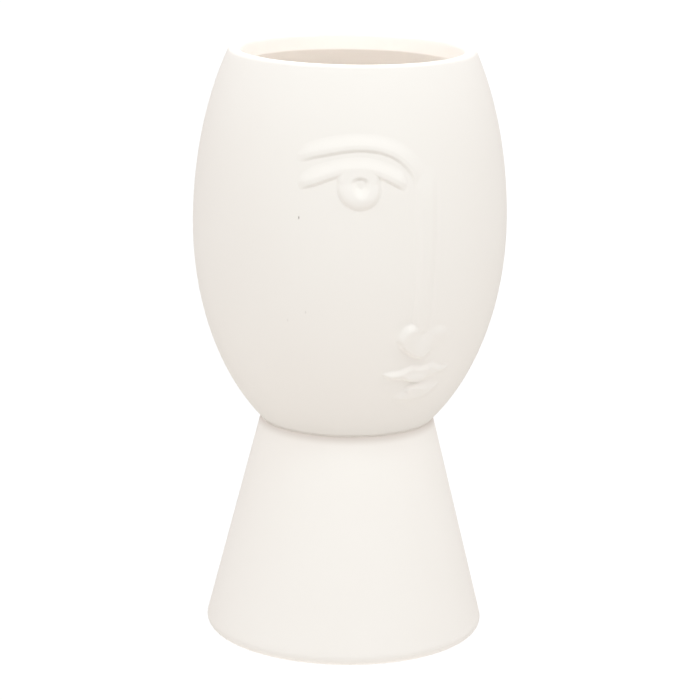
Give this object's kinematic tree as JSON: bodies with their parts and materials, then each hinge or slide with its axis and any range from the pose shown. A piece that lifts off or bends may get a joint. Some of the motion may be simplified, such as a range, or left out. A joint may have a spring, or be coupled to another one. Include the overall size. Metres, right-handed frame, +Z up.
{
  "type": "face vase",
  "caption": "Matte white ceramic flower vase: an egg-shaped head, open behind a rolled lip, with a stylised face in low relief, on a hollow conical foot.",
  "frame": {"origin": "on the table, at the middle of the foot", "axes": "+Z up along the axis of the vase; the middle of the face looks along -Y; +X is to the right of someone who faces it"},
  "size_m": [0.1474, 0.1483, 0.28],
  "materials": {
    "matte_glaze": "matte white satin glaze over cast stoneware",
    "relief_glaze": "the same matte white glaze over the applied relief",
    "joining_slip": "fired slip, matte",
    "bare_clay": "unglazed fired clay, fine and dry"
  },
  "bodies": {
    "root": {"head_shell": "matte_glaze", "neck_slip_joint": "joining_slip", "foot_cone": "matte_glaze", "base_floor": "bare_clay", "brow": "relief_glaze", "eyelid": "relief_glaze", "iris": "relief_glaze", "nose_ridge": "relief_glaze", "nose_tip": "relief_glaze", "upper_lip": "relief_glaze", "lower_lip": "relief_glaze"}
  },
  "joints": []
}
